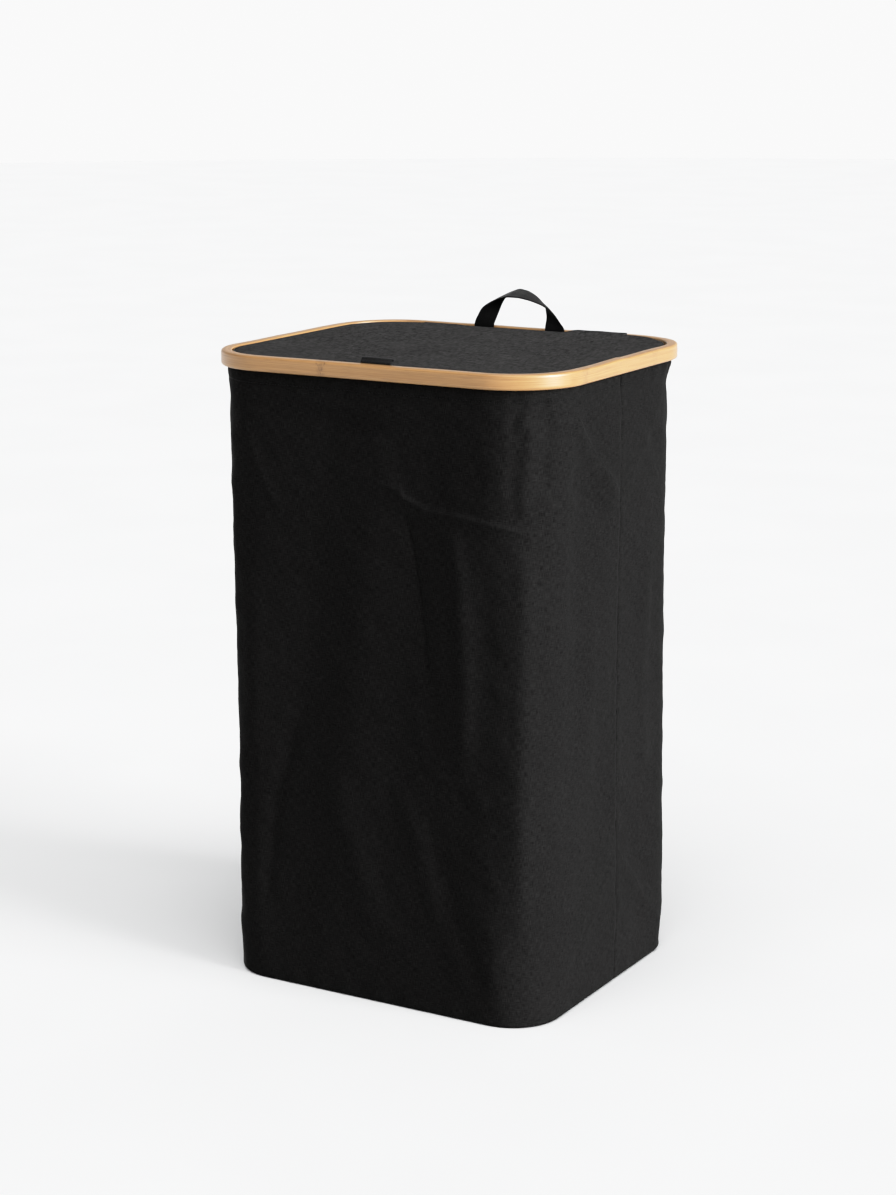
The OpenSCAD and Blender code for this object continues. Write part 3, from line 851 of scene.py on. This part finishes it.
def rod_sleeve(corner, seed, material):
    """Cloth sleeve round a rod, with its seam allowance towards the corner of the body."""
    node = "rod_sleeve_" + corner
    low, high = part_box(node)
    rod_low, rod_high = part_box("lower_rod_" + corner)
    cx, cy = (rod_low[0] + rod_high[0]) / 2, (rod_low[1] + rod_high[1]) / 2
    to_corner = math.atan2(math.copysign(1, cy), math.copysign(1, cx))
    z = np.linspace(low[2], high[2], 170)[:, None]
    turn = np.linspace(-math.pi, math.pi, 41)[None, :-1]
    creases = 0.28 * MM * ripples(5 * MM * turn, z, seed, 14, 9, 40)
    radius = 5.2 * MM + np.maximum(creases, -0.5 * MM) + 1.1 * MM * hump(turn, 0, 0.16)
    x, y = cx + radius * np.cos(turn + to_corner), cy + radius * np.sin(turn + to_corner)
    points = stacked(x, y, z)
    faces = grid_faces(*points.shape[:2], closed_cols=True)
    piece = make_piece(node + "_cloth", points, faces, material, stacked(5 * MM * turn, z, 0))
    thicken(piece, 0.6 * MM)
    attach(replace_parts(piece, node), "hamper_body")


# ---- Stitches ----

STITCH_L, STITCH_GAP, STITCH_R = 2.6 * MM, 1.0 * MM, 0.28 * MM


def between(rows, places, at):
    """The row at a place, between the rows at the known places."""
    return np.array([np.interp(at, places, column) for column in rows.T])


def stitches(name, runs, body, material):
    """Rows of thread. Each run is points that lie on the cloth, and the cloth's outward normals there."""
    ring = np.linspace(0, 2 * math.pi, 7)[:-1]
    # Place along a stitch and thickness there, as shares of its length and radius
    along = [(-0.5, 0.35), (-0.36, 0.85), (0, 1.1), (0.36, 0.85), (0.5, 0.35)]
    vertices, faces = [], []
    for points, normals in runs:
        place = distances(points)
        for start in np.arange(STITCH_GAP, place[-1] - STITCH_L, STITCH_L + STITCH_GAP):
            a, b = between(points, place, start), between(points, place, start + STITCH_L)
            run = unit(b - a)
            up = unit(between(normals, place, start + STITCH_L / 2))
            wide = np.cross(run, up)
            middle = (a + b) / 2
            rows = [middle + run * STITCH_L * f + up * STITCH_R * (0.7 * r - 0.35)
                    + STITCH_R * r * (np.cos(ring)[:, None] * wide + 0.7 * np.sin(ring)[:, None] * up)
                    for f, r in along]
            made, quads = swept(rows)
            first = len(vertices) * len(made)
            vertices.append(made)
            faces += [[first + k for k in quad] for quad in quads]
    piece = make_piece(name, vertices, faces, material)
    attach(piece, body)


# ---- Lid ----

LID_SIZE = LID_W, LID_D, LID_R
SLIT_X = 124.5 * MM
FLAP_OUT = FLAP_Y + 0.4 * MM
LID_CLOTH_T = 0.75 * MM
LINING_Z = LID_Z + 0.15 * MM
LID_WAVE = 0.6 * MM
# Rolled edge of the cover: inset from the lid's outline and height from its top, in millimetres
EDGE_ROLL = [(1, -3.2), (1, -2.6), (1, -2), (1.03, -1.5), (1.15, -1), (1.45, -0.5), (2, -0.15), (2.9, 0)]
# The hinge flap in its place: distance in front of the flap's outer face and height from the lid's top
FLAP_BEND = [(0, -13), (0, -7), (0, -3.5), (0.05, -1.2), (0.35, -0.35), (0.8, -0.05), (1.3, 0), (1.8, 0)]


def lid_height(x, y, seed, edge):
    """Unevenness of a lid cloth, fading out towards the edge."""
    inside = smooth_step(edge, 2 * MM, 22 * MM)
    wave = 0.3 * MM * ripples(x, y, seed, 10, 70, 190) * inside
    wave += 0.09 * MM * ripples(x, y, seed + 1, 14, 18, 50) * inside
    return np.clip(wave, -LID_WAVE, LID_WAVE)


def hinge_bulge(x):
    """How far the loose hinge cloth stands up behind the lid, and lifts the lid's edge beside it."""
    loose = smooth_step(x, 44 * MM, 66 * MM) * smooth_step(176 * MM - x, 0, 34 * MM)
    slight = 0.25 * smooth_step(-x, 66 * MM, 84 * MM) * smooth_step(x + 150 * MM, 0, 30 * MM)
    uneven = 1 + 0.05 * ripples(x, 0, 5, 8, 30, 70, 0.1)
    return 3.4 * MM * (loose + slight) * uneven


def lid_rings(marks, edge_rows):
    """Rings of a lid cloth, from its edge to its middle: x, y, drop and distance from the edge.
    edge_rows holds the outer ones, as inset and drop in millimetres."""
    rings = []
    flat_from = 11
    for inset, drop, edge in [(*row, 0) for row in edge_rows] + [(i, 0, i) for i in (5, 8, flat_from)]:
        x, y, _, _ = outline(marks, LID_SIZE, inset * MM, LID_CY)
        rings.append((x, y, drop * MM, edge * MM))
    depth = LID_D - flat_from * MM
    for share in np.linspace(1, 0.015, 46)[1:]:
        rings.append((x * share, LID_CY + (y - LID_CY) * share, 0, flat_from * MM + depth * (1 - share)))
    return rings


def lid_cloth_piece(name, rings, material, flip, slit=None):
    """Cloth of rings of points, closed by a fan in its middle. slit says which faces are left out."""
    count = len(rings[0])
    points = np.concatenate(rings)
    faces = grid_faces(len(rings), count, closed_cols=True, flip=flip)
    if slit:
        faces = [f for f in faces if not slit(f)]
    middle = len(points)
    last = middle - count
    points = np.concatenate([points, points[last:].mean(0, keepdims=True)])
    fan = [[last + k, last + (k + 1) % count, middle] for k in range(count)]
    faces += [f[::-1] for f in fan] if flip else fan
    return make_piece(name, points, faces, material, points)


def lid_cover(material):
    """Top cloth of the lid. At the back it runs on over the gap and down the slot as the hinge flap."""
    marks = outline_marks(LID_SIZE, 3 * MM)
    plan_x, plan_y, _, _ = outline(marks, LID_SIZE, 0, LID_CY)
    at_back = plan_y > LID_CY + LID_D - LID_R
    at_hinge = (np.abs(plan_x) <= SLIT_X) & (plan_y > LID_HIGH[1] - 0.1 * MM)
    bulge = hinge_bulge(plan_x)
    rings = []
    for k, (x, y, drop, edge) in enumerate(lid_rings(marks, EDGE_ROLL)):
        z = LID_TOP + drop + lid_height(x, y, 21, edge)
        if k < len(FLAP_BEND):
            back, fall = FLAP_BEND[k]
            share = math.sin(math.pi * min(max((k - 1.5) / (len(FLAP_BEND) - 1), 0), 1))
            y = np.where(at_hinge, FLAP_OUT - back * MM + 0.3 * bulge * share, y)
            z = np.where(at_hinge, LID_TOP + fall * MM + bulge * share, z)
            z = z + np.where(at_back & ~at_hinge, 0.6 * bulge, 0)
        elif edge < 9 * MM:
            z = z + np.where(at_back, bulge * (0.32 if edge < 6 * MM else 0.1), 0)
        rings.append(stacked(x, y, z))

    def slit(face):
        """Whether a face joins the flap's side edge to the lid beside it."""
        cols = {k % len(marks) for k in face}
        row = min(k // len(marks) for k in face)
        return row < len(FLAP_BEND) - 1 and len({bool(at_hinge[c]) for c in cols}) == 2

    piece = lid_cloth_piece("lid_cover_cloth", rings, material, flip=False, slit=slit)
    thicken(piece, LID_CLOTH_T)
    settle(piece)
    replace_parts(piece, "lid_cover", "hinge_flap")
    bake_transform(piece)


def lid_lining(material):
    marks = outline_marks(LID_SIZE, 4 * MM)
    rings = []
    for x, y, _, edge in lid_rings(marks, [(1.1, 0), (2.2, 0)]):
        wave = np.minimum(lid_height(x, y, 31, max(edge - 8 * MM, 0)), 0.1 * MM)
        rings.append(stacked(x, y, LINING_Z + wave))
    piece = lid_cloth_piece("lid_lining_cloth", rings, material, flip=True)
    thicken(piece, 0.6 * MM)
    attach(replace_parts(piece, "lid_lining"), "lid")


def lid_stitches(material):
    """Row of thread round the underside of the lid."""
    x, y, _, _ = outline(outline_marks(LID_SIZE, 4 * MM), LID_SIZE, 6 * MM, LID_CY)
    run = stacked(x, y, LINING_Z), stacked(0 * x, 0, -1)
    stitches("lid_stitches", [run], "lid", material)


def lid_binding(material):
    low, high = LID_LOW[2], LID_HIGH[2]
    profile = [(0.0, low + 0.3 * MM), (0.0, high - 0.4 * MM), (0.25 * MM, high), (0.6 * MM, high - 0.05 * MM),
               (0.9 * MM, high - 0.5 * MM), (0.9 * MM, low + 0.2 * MM), (0.45 * MM, low)]

    def under_flap(x, y, z):
        at_hinge = smooth_step(126 * MM - np.abs(x), 0, 2 * MM) * (y > LID_HIGH[1] - 2 * MM)
        return -0.75 * MM * at_hinge * (z > high - 1 * MM)

    ring_piece("lid_binding_tape", "lid_binding", "lid", LID_SIZE, profile, material,
               LID_CY, under_flap)


# ---- Handle ----

WEBBING_T = 1.3 * MM
# Thickness of the sewn stop at each end of the webbing
STOP_T = 3.4 * MM
# Edges of the webbing from the left root over to the right root, in millimetres from the fold line.
# Each row is near edge, far edge, as x, back and up.
ROOT_UP = (-24.5, -18, -16, -8, 0)
HANDLE_EDGES = [[(-60.5, 0, up), (-36.5, 0, up)] for up in ROOT_UP] + [
    [(-57.5, 1, 8.5), (-34.5, 4.5, 10.5)],
    [(-51, 2, 18.5), (-32.5, 14, 24.5)],
    [(-38, 3, 25.5), (-29, 24, 32.5)],
    [(-24, 3, 29.5), (-21, 26.5, 36)],
    [(-10, 3, 29.5), (-13, 26.5, 35.5)],
    [(5, 3, 27.5), (-3, 25, 32.5)],
    [(20, 3, 23), (8, 21.5, 26)],
    [(33, 2.5, 15.5), (16, 17.5, 19.5)],
    [(42, 1, 7), (22.5, 8, 10)],
] + [[(48, 0, up), (25, 0, up)] for up in ROOT_UP[::-1]]


def spline(points, steps):
    """Catmull-Rom curve through the points."""
    p = np.concatenate([2 * points[:1] - points[1:2], points, 2 * points[-1:] - points[-2:-1]])
    made = []
    for k in range(1, len(p) - 2):
        a, b, c, d = p[k - 1], p[k], p[k + 1], p[k + 2]
        for f in np.arange(steps) / steps:
            made.append(0.5 * (2 * b + (c - a) * f + (2 * a - 5 * b + 4 * c - d) * f**2
                               + (3 * b - a - 3 * c + d) * f**3))
    made.append(p[-2])
    return np.array(made)


def handle_webbing(material):
    """The whole length of webbing: the standing loop and its two ends in the slot of the inner hoop."""
    edges = np.array(HANDLE_EDGES, float) * MM + np.array([0, STRAP_Y, FOLD_Z])
    near, far = spline(edges[:, 0], 8), spline(edges[:, 1], 8)
    middle = (near + far) / 2
    run = np.gradient(middle, axis=0)
    across = far - near
    width = np.linalg.norm(across, axis=1, keepdims=True)
    normal = unit(np.cross(run, across))
    along = distances(middle)
    stop = smooth_step(ENDS_LOW[2] + 8.5 * MM - middle[:, 2], 0, 1.2 * MM)
    half_t = (WEBBING_T + (STOP_T - WEBBING_T) * stop)[:, None] / 2
    shares = np.concatenate([[0, 0.012, 0.03, 0.06], np.linspace(0.12, 0.88, 9), [0.94, 0.97, 0.988, 1]])
    rim = np.clip(1 - np.minimum(shares, 1 - shares) / 0.035, 0, 1)
    edge = np.sqrt(1 - rim**2)
    loop = [(share, 1, e) for share, e in zip(shares, edge)]
    loop += [(share, -1, e) for share, e in zip(shares[-2:0:-1], edge[-2:0:-1])]
    standing = smooth_step(middle[:, 2:3] - FOLD_Z, 0, 12 * MM)
    points, values = [], []
    for share, side, e in loop:
        cup = 0.5 * MM * (1 - (2 * share - 1) ** 2)
        wave = 0.12 * MM * ripples(along[:, None], share * 24 * MM, 81, 10, 9, 40)
        points.append(near + across * share + normal * (side * half_t * e + (cup + wave) * standing))
        values.append(stacked(share * width[:, 0], along, 0))
    vertices, faces = swept(np.stack(points, 1))
    piece = make_piece("handle_webbing", vertices, faces, material, np.stack(values, 1))
    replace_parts(piece, "handle_strap", "handle_ends")
    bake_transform(piece)


# ---- Pull tab ----


def tab_ribbon(material):
    """Folded ribbon: two leaves sewn to the lid's edge, which open into a small eye at the free end."""
    length, eye, gap, thick = 6.8 * MM, 1.5 * MM, 0.36 * MM, 0.6 * MM
    foot = TAB_LOW[2] + 0.2 * MM
    root = TAB_Z - foot
    s = np.concatenate([np.linspace(-root, 0, 5)[:-1], np.linspace(0, length - 2 * eye, 9)[:-1],
                        length - eye - eye * np.cos(np.linspace(0, math.pi, 13))])
    opening = smooth_step(s, length - 4.5 * MM, length - 1.4 * MM)
    round_end = np.sqrt(np.clip(1 - (np.clip(s - (length - eye), 0, eye) / eye) ** 2, 0, 1))
    half = (gap + (eye - gap) * opening) * round_end
    path = np.concatenate([stacked(s, half), stacked(s, -half)[-2::-1]])
    run = np.gradient(path, axis=0)
    side = unit(stacked(run[:, 1], -run[:, 0]))
    loop = np.concatenate([path - side * thick / 2, (path + side * thick / 2)[::-1]])
    distance = np.concatenate([distances(path), distances(path)[::-1]])
    fine = np.linspace(-root, length + eye, 200)
    step = fine[1] - fine[0]
    sections, values = [], []
    for f in np.linspace(0, 1, 37):
        x = TAB_LOW[0] + f * (TAB_HIGH[0] - TAB_LOW[0])
        lean = math.radians(50 - 4 * math.sin(5 * f) + 9 * f**6)
        turn = lean * smooth_step(fine, -0.4 * MM, 3 * MM)
        cy = np.interp(loop[:, 0], fine, np.cumsum(np.sin(turn)) * step)
        cz = np.interp(loop[:, 0], fine, np.cumsum(np.cos(turn)) * step)
        bend = np.interp(loop[:, 0], fine, turn)
        out = loop[:, 1] * (1 - 0.45 * f * (1 - f))
        sections.append(stacked(x, TAB_Y + cy - out * np.cos(bend), foot + cz + out * np.sin(bend)))
        values.append(stacked(x, distance, 0))
    vertices, faces = swept(sections)
    piece = make_piece("pull_tab_ribbon", vertices, faces, material, values)
    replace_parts(piece, "pull_tab", "tab_root")
    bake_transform(piece)


# ---- Scene ----

add_camera()
add_studio()
print_contrast()

turns = np.linspace(0, 2 * math.pi, FLOOR_CORNERS + 1)[:-1]
floor = make_piece("floor", FLOOR_RADIUS * stacked(np.cos(turns), np.sin(turns), 0),
                   [list(range(FLOOR_CORNERS))], floor_material("floor_paint"), smooth=False)

body_cloth = woven("body_cloth_weave", 0.006, 0.0188, 0.62 * MM, slub=0.85, sheen=0.03)
lid_cloth = woven("lid_cloth_weave", 0.009, 0.062, 0.62 * MM, slub=1.0, sheen=0.0, gloss=0.0)
tape = webbing("black_tape_twill", 0.002, 0.009, 0.9 * MM)
thread = thread_material("black_thread", 0.0015)
bamboo_hoop(bamboo("bamboo_strip"))
halves = [
    body_half("front_cloth", "front_panel", False, FRONT_FOLDS, 11, body_cloth),
    body_half("back_cloth", "back_panel", True, BACK_FOLDS, 41, body_cloth),
]
stitches("hem_stitches", halves, "hamper_body", thread)
bottom_cloth(body_cloth)
bottom_binding(tape)
for side in (-1, 1):
    seam_tape(side, tape)
sleeve_cloth = woven("sleeve_cloth_weave", 0.008, 0.03, 0.5 * MM, slub=0.4)
for number, corner in enumerate(("front_right", "back_right", "back_left", "front_left")):
    rod_sleeve(corner, 90 + number, sleeve_cloth)
lid_cover(lid_cloth)
lid_lining(woven("lining_cloth_weave", 0.01, 0.035, 0.55 * MM, slub=0.4))
lid_binding(tape)
lid_stitches(thread)
handle_webbing(webbing("handle_webbing_weave", 0.001, 0.009, 1.1 * MM))
tab_ribbon(webbing("tab_ribbon_grosgrain", 0.003, 0.030, 0.8 * MM))

black_plastic = moulded_plastic("black_plastic_grain", 0.012)
tube_metal = drawn_metal("rod_tube_metal", 0.75, 0.3)
# Material of the CAD nodes that stay, by the start of their names
carried_materials = {
    "inner_hoop": black_plastic,
    "hoop_screws": drawn_metal("screw_metal", 0.6, 0.35),
    "base_board": hardboard("base_hardboard"),
    "lid_board": hardboard("lid_hardboard"),
    "top_socket": black_plastic,
    "bottom_socket": black_plastic,
    "lower_rod": tube_metal,
    "upper_rod": tube_metal,
    "rod_ferrule": black_plastic,
}
for start, material in carried_materials.items():
    for carried in [node for name, node in frame["nodes"].items() if name.startswith(start)]:
        carried.data.materials.clear()
        carried.data.materials.append(material)
        soften_edges(carried)

keep_off("key", ["floor"])
keep_off("back", ["floor", "bamboo_hoop_strip"])
